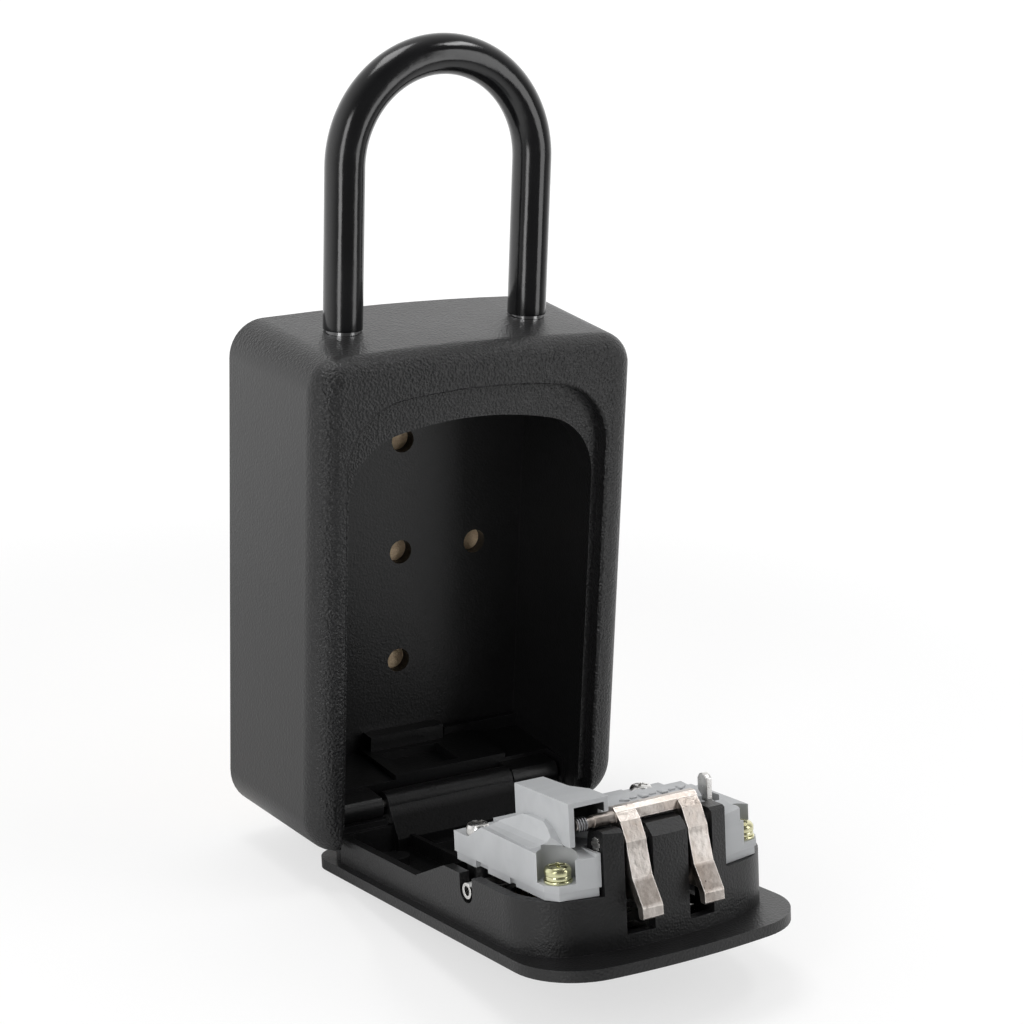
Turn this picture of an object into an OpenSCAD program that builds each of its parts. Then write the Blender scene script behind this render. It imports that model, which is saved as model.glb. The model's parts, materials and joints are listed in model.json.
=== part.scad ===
// Portable key lock box: cast housing with a removable shackle, drop-down door with
// four number wheels, a spring latch claw on two fingers and a reset lever.
// Working frame of the modules: X right, Y into the box from the front rim, Z up from
// the bottom of the front rim, door closed. place() moves it to the row frame, whose
// origin is the centre mounting hole on the back face.

/* [Housing] */
// Depth of the casting from front rim to back face
body_depth = 40.3; // [38:0.1:46]
// Half width of the casting at the front rim
front_half_w = 41.85; // [40:0.05:46]
// Extra half width gained at the back face
back_grow = 2.65; // [0:0.05:4]
// Height of the casting at the front rim, without the crown
front_h = 117.3; // [116:0.1:124]
// Rise of the crowned top at the centre
crown = 1.14; // [0:0.02:3]
// Radius of the rounded front edge
front_fillet = 5.8; // [3:0.1:6.5]
// Radius of the upper profile corners
corner_top = 7.4; // [7:0.1:12]
// Radius of the lower profile corners
corner_bottom = 9.6; // [7:0.1:12]
// Depth of the seat that the door plate drops into
seat_depth = 3.2; // [3:0.1:4]
// Thickness of the back wall
back_wall = 3.06; // [2:0.02:4]

/* [Mounting] */
// Radius of the wall screw holes
hole_r = 3; // [2:0.05:3.5]
// Height of the centre hole above the bottom of the rim
hole_z = 59.4; // [58:0.1:61]
// Vertical distance from the centre hole to the upper and lower holes
hole_dz = 28.3; // [20:0.1:30]
// Horizontal distance from the centre hole to the side holes
hole_dx = 21; // [15:0.1:25]
// Thickness of the pad glued to the back
pad_t = 1.5; // [0.5:0.1:3]

/* [Shackle] */
// Distance between the two legs
leg_gap = 49.2; // [46:0.1:50]
// Distance of the legs behind the front rim
leg_y = 22.2; // [22:0.1:23]
// Radius of the steel rod
rod_r = 4; // [3.5:0.05:4]
// Outer radius of the vinyl sleeve
sleeve_r = 4.6; // [4.4:0.05:5]
// Height of the top of the arch over the bottom of the rim
arch_top = 186; // [170:0.5:220]

/* [Door] */
// Half width of the door plate
plate_half_w = 33.7; // [33:0.1:33.8]
// Thickness of the door plate
plate_t = 2.5; // [2:0.1:2.8]
// Height of the arched end of the door plate
plate_top = 108.3; // [107:0.1:108.5]
// Door angle at rest, measured from closed
open_deg = 81.4; // [0:0.1:90]
// Hinge pin radius
pin_r = 1.5; // [1:0.05:1.5]
// Radius of the number wheels
dial_r = 10; // [9.4:0.05:10.1]
// Width of a number wheel
dial_w = 6.6; // [6:0.1:7]
// Distance between neighbouring wheels
dial_pitch = 8.6; // [8.2:0.1:9]

/* [Hidden] */
$fn = 48;
overlap = 0.02;
run_gap = 0.04;      // radial running clearance
// Arch radii of the outlines
crown_r = 760;
seat_arch_r = 165;   // door plate and its seat
opening_arch_r = 90; // opening and door walls
// Housing and hinge
cavity_half_w = 32.83;
cavity_back = body_depth - back_wall;
hinge_y = 13.2;      // hinge axis behind the rim
hinge_z = 5;         // hinge axis above the bottom of the rim
barrel_r = 3.1;      // hinge lugs and door barrel
lug_in = 18.3;       // inner and outer ends of the lugs
lug_out = 31;
case_z = 105.4;      // lock case above the cavity
case_top = 115.4;
case_screw_x = 12;
case_screw_y = 32.6;
// Shackle
leg_x = leg_gap / 2;
arch_z = arch_top - sleeve_r - leg_x;
bore_r = rod_r + 0.06;
slide_z = 108;       // lock slide, bottom and top
slide_top = 110.4;
// Door, with Y counted from the inner face of the plate
plate_in = 3;        // inner face of the closed plate behind the rim
door_hinge_y = hinge_y - plate_in;
arm_left = -16.9;    // sides of the hinge arm
arm_right = 17.9;
deep_y = 11.8;       // height of the deep half of the door
shallow_y = 6.2;     // height of the shallow half of the door
dial_y = 8.4;        // wheel axis
dial_z = 69;
spindle_r = 1.8;
claw_y = 22.3;       // claw pivot
claw_z = 96.5;
latch_pin_r = 1.5;
finger_x = 7.8;      // centre of each latch finger
shaft_y = 26.6;      // shaft at the end of the claw, carries the spring
shaft_z = 94.6;
base_y = 11.85;      // underside and top of the grey base
base_top = 13.7;
cover_y = 13.76;     // underside of the grey cover
screw_x = 23.4;      // front cover screws
screw_z = 93.4;
rear_screws = [[-24.2, 62.9], [19.6, 61.5]]; // X, Z

// ---------- outlines ----------
function arc_points(cx, cz, r, a0, a1, steps) =
  [for (i = [0:steps]) let (a = a0 + (a1 - a0) * i / steps) [cx + r * cos(a), cz + r * sin(a)]];

// Rounded outline in X and Z with an arched top
function arch_outline(half_w, bottom, bottom_r, top, arch_r, top_r, steps = 10) =
  let (
    lean = atan((half_w - top_r) / arch_r),
    arch_x = half_w - top_r + top_r * sin(lean),
    corner_z = top - arch_x * arch_x / (2 * arch_r) - top_r * cos(lean)
  )
  concat(
    arc_points(half_w - bottom_r, bottom + bottom_r, bottom_r, -90, 0, steps),
    arc_points(half_w - top_r, corner_z, top_r, 0, 90 - lean, steps),
    [for (i = [1:15]) let (x = arch_x * (1 - i / 8)) [x, top - x * x / (2 * arch_r)]],
    arc_points(-(half_w - top_r), corner_z, top_r, 90 + lean, 180, steps),
    arc_points(-(half_w - bottom_r), bottom + bottom_r, bottom_r, 180, 270, steps));

// X, Z outline as a ring of points at one Y
function ring_at(y, outline) = [for (q = outline) [q[0], y, q[1]]];

// ---------- solids ----------
// Slab between two depths, drawn in X and Z
module slab(y0, y1)
  translate([0, y1, 0]) rotate([90, 0, 0]) linear_extrude(y1 - y0) children();
// Bar between two X positions, drawn in Y and Z
module xslab(x0, x1)
  translate([x0, 0, 0]) rotate([90, 0, 90]) linear_extrude(x1 - x0) children();
module xcyl(x0, x1, y, z, r)
  translate([x0, y, z]) rotate([0, 90, 0]) cylinder(h = x1 - x0, r = r);
module ycyl(x, z, y0, y1, r)
  translate([x, y0, z]) rotate([-90, 0, 0]) cylinder(h = y1 - y0, r = r);
module zcyl(x, y, z0, z1, r) translate([x, y, z0]) cylinder(h = z1 - z0, r = r);
module block(x0, x1, y0, y1, z0, z1) translate([x0, y0, z0]) cube([x1 - x0, y1 - y0, z1 - z0]);

// Faces of a skin over rings of n points each, with both ends closed
function skin_faces(n, rings) = concat(
  [[for (i = [0:n - 1]) i]],
  [for (k = [0:rings - 2]) for (i = [0:n - 1])
    let (j = (i + 1) % n, low = k * n, high = low + n)
    each [[low + i, high + i, high + j], [low + i, high + j, low + j]]],
  [[for (i = [n - 1:-1:0]) (rings - 1) * n + i]]);

// Skin over a stack of rings that all hold the same number of points
module loft(rings) {
  n = len(rings[0]);
  polyhedron(points = [for (r = rings) for (i = [n - 1:-1:0]) r[i]],
    faces = skin_faces(n, len(rings)));
}

// ---------- placing ----------
module both() {
  children();
  mirror([1, 0, 0]) children();
}
module place() translate([0, -body_depth, -hole_z]) children();
// Swings a part drawn on the closed door to the rest angle
module on_door()
  place() translate([0, hinge_y, hinge_z]) rotate([open_deg, 0, 0])
    translate([0, -door_hinge_y, -hinge_z]) children();
// Cylinders at the shackle legs and at each group of screws
module leg_cyls(z0, z1, r) both() zcyl(leg_x, leg_y, z0, z1, r);
module case_screw_cyls(z0, z1, r) both() zcyl(case_screw_x, case_screw_y, z0, z1, r);
module front_screw_cyls(y0, y1, r) both() ycyl(screw_x, screw_z, y0, y1, r);
module rear_screw_cyls(y0, y1, r) for (p = rear_screws) ycyl(p[0], p[1], y0, y1, r);

// ---------- housing ----------
function body_ring(y, inset) =
  let (grow = back_grow * y / body_depth)
  ring_at(y, arch_outline(front_half_w + grow - inset, inset - grow * 0.59,
    max(corner_bottom + grow * 0.5 - inset, 1.2), front_h + crown + grow - inset,
    crown_r, max(corner_top + grow * 0.5 - inset, 1.2)));
function seat_outline(grow) =
  arch_outline(34.3 + grow, -8, 0.5, 108.9 + grow, seat_arch_r, 15.8 + grow);
function opening_ring(y, half_w) =
  ring_at(y, arch_outline(half_w, -6, 0.5, 101.5, opening_arch_r, 15.5, 12));
function cavity_ring(y, half_w) = ring_at(y, [[-half_w, 8.5], [half_w, 8.5], [half_w, 101],
  [half_w - 2, 103.5], [2 - half_w, 103.5], [-half_w, 101]]);

// Depth and outward growth of the rounded rim of the seat
seat_edge = [[-0.02, 0.8], [0.1, 0.42], [0.38, 0.12], [0.8, -0.02]];

module body_shell() loft(concat(
  [for (a = [0:10:90]) body_ring(front_fillet * (1 - cos(a)), front_fillet * (1 - sin(a)))],
  [body_ring(body_depth, 0)]));

// Seat, opening and cavity, from the front inwards
module door_opening() {
  slab(-1, seat_depth) polygon(seat_outline(0));
  loft([for (q = seat_edge) ring_at(q[0], seat_outline(q[1]))]);
  loft([opening_ring(seat_depth - overlap, 32.5), opening_ring(9.95, cavity_half_w)]);
  loft([cavity_ring(9.9, cavity_half_w), cavity_ring(cavity_back, 34.2)]);
  // room for the hinge at the bottom
  block(-32.4, 32.4, seat_depth - overlap, 17.5, -8, 9);
  block(-34.3, 34.3, seat_depth - overlap, 4.6, -8, 5.6);
  // pocket in the lip for the latch fingers
  block(-13.2, 13.2, 9.8, 15, 95, 107);
}

// Seat for the lock case cover, and the lock case above it
module lock_case_space() {
  block(-32.8, 32.8, 17.5, 36.9, 103, case_z);
  block(-31.5, 31.5, 18, 36.2, 105, case_top);
  both() block(11.8, 31.5, 15.6, 19, case_z, case_top);
}

// Hollows beside and below the cavity, closed by the back pad
module back_hollows() {
  both() for (z = [15, 43.5, 72]) block(37.2, 40.4, 9, body_depth + 1, z, z + 26);
  for (x = [-28, -8.5, 11]) block(x, x + 17, 22, body_depth + 1, 1.4, 6);
}

// Raised middle of the floor and ledges along the back wall
module floor_ledges() {
  difference() {
    block(-11.2, 20, 17.5, 37.6, 8, 9.7);
    block(-8, 8, 20, 31, 7, 10);
  }
  block(-9.6, 11, 33.2, 37.6, 9, 13.4);
  block(12.4, 34, 35, 37.6, 8, 11.6);
}

module hinge_lugs() both() difference() {
  flat_z = hinge_z + 2.6;
  union() {
    xcyl(lug_in, lug_out, hinge_y, hinge_z, barrel_r);
    block(lug_in, lug_out, hinge_y, 17.6, hinge_z - barrel_r, flat_z);
  }
  block(18, 32, hinge_y - 6, 18, flat_z + overlap, 12);
}

module mount_holes()
  for (p = [[0, 0], [0, hole_dz], [0, -hole_dz], [hole_dx, 0], [-hole_dx, 0]])
    ycyl(p[0], hole_z + p[1], cavity_back - 1, body_depth + 1, hole_r);

module housing() color("#26272a") place() difference() {
  union() {
    difference() {
      body_shell();
      door_opening();
      lock_case_space();
      back_hollows();
      // shallow rectangle in the cavity floor
      block(-8, 8, 20, 31, 7.6, 9.9);
    }
    floor_ledges();
    hinge_lugs();
    // bosses round the shackle bores and for the cover screws
    leg_cyls(112, 116, 6.4);
    case_screw_cyls(case_z, 116, 2.6);
  }
  xcyl(-31.1, 31.1, hinge_y, hinge_z, pin_r + run_gap);
  // shackle bores, flared at the top
  leg_cyls(100, 125, bore_r);
  both() translate([leg_x, leg_y, 118.9]) cylinder(h = 2, r1 = bore_r, r2 = rod_r + 1.5);
  case_screw_cyls(104, 113, 1.3);
  mount_holes();
}

module back_pad() color("#b98a5a") place()
  slab(body_depth + 0.01, body_depth + pad_t)
    polygon(arch_outline(41, 2.2, 8, 116.2, crown_r, 7, 8));

module hinge_pin() color("silver") place() xcyl(-30.8, 30.8, hinge_y, hinge_z, pin_r);

// ---------- lock case ----------
module lock_case_cover() color("#1d1e20") place() difference() {
  block(-32.5, 32.5, 17.7, 36.7, 103.5, case_z - 0.05);
  block(-9, 4.6, 26.4, 30.4, 103, 106);
  case_screw_cyls(103, 106, 1.7);
  case_screw_cyls(103, 104.2, 3);
}

// Screws with a cross slot in the head, heads down
module lock_case_screws() color("silver") place()
  both() translate([case_screw_x, case_screw_y, 0]) difference() {
    union() {
      zcyl(0, 0, 102.9, 104.15, 2.7);
      zcyl(0, 0, 104, 111, 1.26);
    }
    block(-0.3, 0.3, -1.7, 1.7, 102, 103.5);
    block(-1.7, 1.7, -0.3, 0.3, 102, 103.5);
  }

// Plate with a bore and a side slot at each leg, and a tongue down through the cover
module lock_slide() color("#b9bcc0") place() difference() {
  union() {
    block(-27.4, 30.9, 20, 29.7, slide_z, slide_top);
    both() block(16, 27.4, 16.3, 21, slide_z, slide_top);
    block(27, 30.9, 16.3, 21, slide_z, slide_top);
    block(-2.6, 2.6, 27.4, 29.6, 100.4, slide_z + 0.4);
  }
  leg_cyls(107, 112, rod_r + 0.3);
  for (s = [-1, 1]) block(s * leg_x, s * leg_x + 6.9, leg_y - 2.85, leg_y + 2.85, 107, 112);
}

// ---------- shackle ----------
// Half ring over the legs, swept from a 2D section
module arch_bend()
  translate([0, leg_y, arch_z]) rotate([90, 0, 0])
    rotate_extrude(angle = 180, $fn = 96) translate([leg_x, 0]) children();

module shackle() color("silver") place() difference() {
  union() {
    leg_cyls(105.8, arch_z + overlap, rod_r);
    arch_bend() circle(r = rod_r, $fn = 40);
  }
  // groove for the lock slide
  difference() {
    leg_cyls(107.5, 110.9, rod_r + 1);
    leg_cyls(107, 112, 2.6);
  }
  // chamfer at the leg ends
  both() translate([leg_x, leg_y, 105.7]) difference() {
    cylinder(h = 0.9, r = 5);
    translate([0, 0, -0.05]) cylinder(h = 1, r1 = 3.1, r2 = 4.1);
  }
}

module shackle_sleeve() color("#0b0b0c") place() {
  inner_r = rod_r + 0.01;
  bottom = 120.1;
  difference() {
    leg_cyls(bottom, arch_z, sleeve_r);
    leg_cyls(bottom - 1, arch_z + 1, inner_r);
  }
  arch_bend() difference() {
    circle(r = sleeve_r, $fn = 40);
    circle(r = inner_r, $fn = 40);
  }
}

// ---------- door casting ----------
function dial_x(i) = (i - 1.5) * dial_pitch;
function wall_outline(inset, bottom) =
  arch_outline(31.4 - inset, bottom, 2.2, 100.6 - inset, opening_arch_r, 14.7 - inset);

// Walls of the deep and shallow halves, with a cross wall between them
module door_walls() difference() {
  slab(-overlap, deep_y) polygon(wall_outline(0, 8));
  // step down from the deep half to the shallow half
  xslab(-40, 40)
    polygon([[shallow_y, 0], [shallow_y, 46.5], [deep_y + 0.1, 60], [20, 60], [20, 0]]);
  intersection() {
    slab(0, 20) polygon(wall_outline(2.1, 10));
    block(-40, 40, -1, 20, 0, 55.4);
  }
  intersection() {
    slab(0, 20) polygon(wall_outline(2.4, 10));
    block(-40, 40, -1, 20, 57.4, 110);
  }
}

// Centre pillar and the two ears that carry the latch pin; profiles in Y, Z
module latch_pillars() difference() {
  union() {
    xslab(-15.8, -11.2) polygon([[-overlap, 92.9], [19, 92.9], [23.8, 93.4], [24.9, 94.2],
      [24.9, 96.4], [25.4, 97], [25.4, 98.6], [24.6, 100.1], [22, 100.8], [-overlap, 100.8]]);
    xslab(-4.4, 4.4) polygon([[-overlap, 95.2], [18, 95.2], [24, 93.9], [24.9, 94.8],
      [24.9, 98], [22.4, 100.8], [-overlap, 100.8]]);
    xslab(11.2, 15) polygon([[-overlap, 92.9], [19, 92.9], [24.2, 93.4], [25.4, 94.8],
      [25.4, 98.6], [24.6, 100.1], [22, 100.8], [-overlap, 100.8]]);
  }
  // room for the release bar
  block(-5, 5, -1, 13.2, 90, 98);
  // keep the pillars inside the walls
  difference() {
    block(-50, 50, -1, 40, 80, 110);
    slab(-2, 50) polygon(wall_outline(0, 8));
  }
}

module door_ribs_and_posts() {
  // ribs and bosses of the shallow half
  for (x = [-13.6, 12.9]) block(x, x + 1.2, -overlap, 3.6, 10, 56);
  for (x = [-22, 22]) {
    ycyl(x, 20, -overlap, 2.2, 3.2);
    ycyl(x, 44, -overlap, 2.2, 2.2);
  }
  // posts under the cover screws
  front_screw_cyls(-overlap, 13.6, 2.45);
  rear_screw_cyls(-overlap, deep_y - 0.1, 2.7);
  // raised bottom wall on both sides of the hinge arm
  both() block(arm_right, 31.2, -overlap, 7.75, 7.2, 9);
  // guides at the ends of the release bar
  both() block(13.2, 14.6, -overlap, 3.4, 80.5, 94);
}

module hinge_arm() {
  tip_y = door_hinge_y + 1;
  xslab(arm_left, arm_right) polygon([[-overlap, 1.2], [-overlap, 12], [3, 12],
    [tip_y, 7.6], [tip_y, 2.2], [3, 1.2]]);
  xcyl(arm_left, arm_right, door_hinge_y, hinge_z, barrel_r);
}

module hinge_cuts() {
  xcyl(-20, 20, door_hinge_y, hinge_z, pin_r + run_gap);
  // trim the arm round the barrel
  difference() {
    block(-17.5, 18.5, door_hinge_y, 16, -2, 14);
    xcyl(-18, 19, door_hinge_y, hinge_z, barrel_r);
  }
}

module dial_cuts() {
  // windows for the number wheels
  for (i = [0:3]) block(dial_x(i) - 3.55, dial_x(i) + 3.55, -3, 1, dial_z - 7.4, dial_z + 7.4);
  // shallow field round the wheels on the outer face
  slab(-plate_t - 1, -plate_t + 0.6)
    polygon(arch_outline(20.5, dial_z - 11, 3, dial_z + 11, 900, 3, 6));
  // spindle seats: round-bottomed slots open at the top of the side walls
  both() {
    xcyl(28, 33, dial_y, dial_z, 2.6);
    block(28, 33, dial_y, 16, dial_z - 2.6, dial_z + 2.6);
  }
}

module door() color("#232427") on_door() difference() {
  union() {
    // plate with its arched free end
    slab(-plate_t, 0)
      polygon(arch_outline(plate_half_w, -1.6, 7.4, plate_top, seat_arch_r, 15.4, 12));
    door_walls();
    latch_pillars();
    door_ribs_and_posts();
    hinge_arm();
  }
  hinge_cuts();
  // finger slots in the top wall
  for (s = [-1, 1])
    block(s * finger_x - 3.35, s * finger_x + 3.35, 2.9, 30, 92.5, 102);
  xcyl(-16, 16, claw_y, claw_z, latch_pin_r + run_gap);
  dial_cuts();
  // release button: pocket on the outer face and a slot through the plate
  block(-13, 13, -plate_t - 1, -1.2, 83.2, 96.4);
  block(-4.2, 4.2, -3, 1, 83.6, 92);
  // screw pilots
  front_screw_cyls(2, 16, 1.22);
  rear_screw_cyls(2, 14, 1.16);
}

// ---------- grey cover and base ----------
// Shared outline, cut back at the top between the two wings
function cover_outline(inset) = [
  [-27.2 + inset, 57.5 + inset], [27.2 - inset, 57.5 + inset],
  [27.2 - inset, 93.6 - inset * 0.6], [25.2 - inset * 0.6, 96.5 - inset],
  [15.2 + inset, 98.5 - inset], [15.2 + inset, 92.6 - inset],
  [-16.1 - inset, 92.6 - inset], [-16.1 - inset, 98.5 - inset],
  [-25.2 + inset * 0.6, 96.5 - inset], [-27.2 + inset, 93.6 - inset * 0.6]];

// Side notches, up to depth y1
module notches(y1) {
  block(-30, -25.6, 10, y1, 65.8, 70.8);
  block(-30, -26, 10, y1 - 0.5, 79.8, 82.2);
  block(25.6, 30, 10, y1, 65.8, 70.8);
}

module mechanism_base() color("#9fa3a6") on_door() difference() {
  slab(base_y, base_top) polygon(cover_outline(0.35));
  // open middle, leaving a frame with screw corners
  difference() {
    slab(base_y - 1, 15) polygon(cover_outline(2.2));
    both() block(19.5, 30, 0, 20, 87.6, 100);
    block(-30, -20.5, 0, 20, 57, 66);
    block(16.8, 30, 0, 20, 57, 64.6);
  }
  block(-16.6, 16.6, 0, 20, 58.9, 64);
  notches(13.75);
  front_screw_cyls(11, 15, 2.58);
  rear_screw_cyls(11, 15, 1.4);
}

// Four strips across X, each with its side profile in Y, Z; inset gives the inner skin
module cover_skin(inset) intersection() {
  rise = inset * 0.4;
  slab(13.75 - inset, 40) polygon(cover_outline(inset));
  union() {
    xslab(-27.3, -17) polygon([[10, 57], [18.3 - inset, 57], [18.3 - inset, 63.5 + rise],
      [21.7 - inset, 69.3 + rise], [21.3 - inset, 91.6], [20.3 - inset, 96.6 - inset],
      [20.2 - inset, 99], [10, 99]]);
    xslab(-17.1, 16.9) polygon([[10, 57], [19.1 - inset * 0.7, 57],
      [19.1 - inset * 0.7, 60.4 + rise], [21 - inset, 65.4 + rise], [21.2 - inset, 84.9],
      [21 - inset, 99], [10, 99]]);
    xslab(12.9, 20.4) polygon([[10, 57], [18.8 - inset, 57], [18.8 - inset, 70 + rise],
      [24.7 - inset, 80 + inset * 0.6], [24.7 - inset, 93], [22.8 - inset, 98.6 - inset],
      [22.8 - inset, 99], [10, 99]]);
    xslab(20.3, 27.3) polygon([[10, 57], [18.8 - inset, 57], [18.8 - inset, 68 + rise],
      [21.6 - inset, 73 + rise], [21.4 - inset, 93.2], [20.2 - inset, 97.6 - inset],
      [20.2 - inset, 99], [10, 99]]);
  }
}

// Hollow block in the centre, next to the claw
module centre_block() difference() {
  xslab(-12, 14.2) polygon([[18, 78], [27.6, 84.9], [27, 91.4], [26, 92.4], [18, 92.4]]);
  xslab(-30, 12.6) polygon([[16, 80.6], [19.4, 80.6], [25.9, 86.4], [25.3, 90.8], [16, 90.8]]);
}

// Bead along the hood that sweeps down onto the wing
module fairing() difference() {
  intersection() {
    xslab(-26.2, -21.1) polygon([[18.6, 69], [21.6, 69.2], [23.2, 71.6], [24.4, 74.6],
      [25.9, 78.5], [26.5, 81.5], [26.6, 86], [25.3, 89.3], [22.4, 92.7], [18.6, 92.9]]);
    // section in X, Y
    translate([0, 0, 60]) linear_extrude(40) polygon([[-27, 18.4], [-27, 21.1],
      [-24.8, 22.1], [-23.8, 22.9], [-23.2, 24], [-22.8, 25.4], [-22.4, 26.2],
      [-20.9, 26.7], [-20.9, 18.4]]);
  }
  slab(18, 40) polygon([[-20.9, 93.4], [-27.4, 86.4], [-27.4, 99], [-20.9, 99]]);
}

// Hood over the end of the claw shaft
module shaft_hood() difference() {
  slab(19.6, 31.6) polygon([[-21.4, 74.4], [-14.2, 74.4], [-13.8, 84], [-11.6, 88.4],
    [-11.6, 95.3], [-21.4, 95.3]]);
  slab(17, 30.5) polygon([[-20.1, 75.9], [-15.6, 75.9], [-15.2, 84.6], [-12.6, 89],
    [-12.6, 97], [-20.1, 97]]);
}

module cover_posts() {
  intersection() {
    front_screw_cyls(cover_y, 40, 5.7);
    cover_skin(0);
  }
  intersection() {
    rear_screw_cyls(cover_y, 18, 2.8);
    slab(13, 20) polygon(cover_outline(0));
  }
}

module cover_screw_cuts() {
  // corner pockets for the front screws, the left one under the fairing
  for (s = [-1, 1]) {
    top = s < 0 ? 22.3 : 40;
    ycyl(s * screw_x, screw_z, 15.2, top, 4.3);
    block(min(s * screw_x, s * 32), max(s * screw_x, s * 32), 15.2, top, screw_z, 101);
  }
  front_screw_cyls(10, 18, 1.75);
  rear_screw_cyls(10, 25, 1.3);
  // head recess of the left rear screw
  ycyl(rear_screws[0][0], rear_screws[0][1], 18.35, 30, 2.9);
}

module mechanism_cover() color("#b9bcbe") on_door() difference() {
  union() {
    difference() {
      cover_skin(0);
      cover_skin(1.7);
    }
    centre_block();
    fairing();
    shaft_hood();
    cover_posts();
  }
  cover_screw_cuts();
  notches(cover_y);
  // open side of the hood for the shaft
  block(-16.4, -11, 17, 28.4, 92.6, 97);
  block(-16.1, -11.1, 17, 22.6, 91.9, 99.5);
  // slot for the reset lever
  block(14.9, 20, 20, 30, 88.2, 93.4);
  // parting step under the wings
  block(-30, 30, base_top, cover_y, 50, 110);
}

// ---------- fasteners on the door ----------
// Cross-slotted screw with its head towards +Y
module pan_screw(head_r, head_h, shank_r, shank_len, slot_w) difference() {
  union() {
    rotate([-90, 0, 0]) rotate_extrude($fn = 40) polygon([[0, 0], [head_r, 0],
      [head_r, head_h * 0.55], [head_r * 0.86, head_h * 0.85], [head_r * 0.55, head_h],
      [0, head_h]]);
    translate([0, -shank_len, 0]) rotate([-90, 0, 0])
      cylinder(h = shank_len + 0.1, r = shank_r, $fn = 24);
  }
  for (a = [0, 90]) rotate([0, a, 0])
    translate([-head_r * 0.62, head_h * 0.45, -slot_w / 2])
      cube([head_r * 1.24, head_h, slot_w]);
}

module cover_screws_front() color("#c9b96a") on_door()
  both() translate([screw_x, 16.9, screw_z]) rotate([0, 25, 0])
    pan_screw(head_r = 2.85, head_h = 1.9, shank_r = 1.16, shank_len = 11, slot_w = 0.75);

// A flat washer and a split washer on each front screw
module cover_screw_washers() color("#cfc488") on_door()
  both() translate([screw_x, 0, screw_z]) {
    difference() {
      ycyl(0, 0, 15.22, 15.82, 3.0);
      ycyl(0, 0, 14, 20, 1.3);
    }
    difference() {
      ycyl(0, 0, 15.88, 16.82, 2.75);
      ycyl(0, 0, 14, 20, 1.3);
      rotate([0, 200, 0]) translate([0, 15, -0.25]) cube([4, 3, 0.5]);
    }
  }

module rear_screw(i, seat_y, turn, head_r, head_h)
  translate([rear_screws[i][0], seat_y, rear_screws[i][1]]) rotate([0, turn, 0])
    pan_screw(head_r, head_h, shank_r = 1.1, shank_len = 12, slot_w = 0.7);
module cover_screws_rear() color("silver") on_door() {
  rear_screw(0, seat_y = 18.37, turn = 12, head_r = 2.6, head_h = 2.5);
  rear_screw(1, seat_y = 18.82, turn = 40, head_r = 2.55, head_h = 1.9);
}

// ---------- code wheels ----------
// Puts a part turned about Z onto the spindle, at wheel i
module on_spindle(i) on_door()
  translate([dial_x(i), dial_y, dial_z]) rotate([0, 90, 0]) children();

// Chamfered ring with ten grooves round the rim
module wheel(i) on_spindle(i) translate([0, 0, -dial_w / 2]) difference() {
  rotate_extrude($fn = 80) polygon([[5, 0], [dial_r - 0.7, 0], [dial_r, 0.7],
    [dial_r, dial_w - 0.7], [dial_r - 0.7, dial_w], [5, dial_w]]);
  for (k = [0:9]) rotate([0, 0, k * 36 + 18]) translate([dial_r + 0.55, 0, -1])
    cylinder(h = dial_w + 2, r = 1.3, $fn = 20);
}

// Hub inside a wheel, with a flange that has one flat
module cam(i) on_spindle(i) translate([0, 0, -dial_w / 2 - 0.6]) difference() {
  union() {
    cylinder(h = dial_w + 1.2, r = 4.95);
    cylinder(h = 0.55, r = 6.4);
  }
  translate([0, 0, -1]) cylinder(h = dial_w + 4, r = spindle_r + run_gap);
  translate([4.6, -4, -1]) cube([4, 8, 1.58]);
}

module dial_1() color("#2a2b2e") wheel(0);
module dial_2() color("#2a2b2e") wheel(1);
module dial_3() color("#2a2b2e") wheel(2);
module dial_4() color("#2a2b2e") wheel(3);
module cam_1() color("#c9a24a") cam(0);
module cam_2() color("#c9a24a") cam(1);
module cam_3() color("#c9a24a") cam(2);
module cam_4() color("#c9a24a") cam(3);

module dial_spindle() color("#c8cacc") on_door() difference() {
  xcyl(-31.3, 31.3, dial_y, dial_z, spindle_r);
  xcyl(-32, 32, dial_y, dial_z, 1.05);
}

// Sheet comb with one leaf over each wheel
module detent_spring() color("#cfd2d4") on_door() difference() {
  union() {
    block(-16.4, 16.4, 18.75, 19.05, 66.3, 69);
    for (i = [0:3]) block(dial_x(i) - 2, dial_x(i) + 2, 18.75, 19.05, 68.9, 77.5);
  }
  for (x = [-8.6, 8.6]) ycyl(x, 67.6, 18, 20, 0.7);
}

// ---------- latch ----------
// Pin with six small grooves at its left end
module latch_pin() color("#b8babd") on_door() difference() {
  xcyl(-16, 14.95, claw_y, claw_z, latch_pin_r);
  for (k = [0:5]) translate([-16.1, claw_y, claw_z]) rotate([k * 60, 0, 0])
    translate([0, latch_pin_r, 0]) rotate([0, 90, 0]) cylinder(h = 1.6, r = 0.28, $fn = 16);
}

// Side profile of a finger in Y, Z
finger_profile = [
  [28.2, 93.4], [28.5, 94.6], [28.2, 95.6], [26.2, 97.5], [22.2, 99.5], [20.4, 99.75],
  [15, 101.2], [9.8, 104.5], [9.3, 104.7], [7.3, 104.8], [7, 104.6], [7, 103.3],
  [7.3, 103.1], [9.3, 102.7], [14.4, 99.4], [19.2, 97.9], [20, 94.2], [24.6, 94.2],
  [25.4, 93.6]];
module finger() difference() {
  xslab(-2.5, 2.5) polygon(finger_profile);
  xcyl(-3, 3, claw_y, claw_z, latch_pin_r + run_gap);
}

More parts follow.
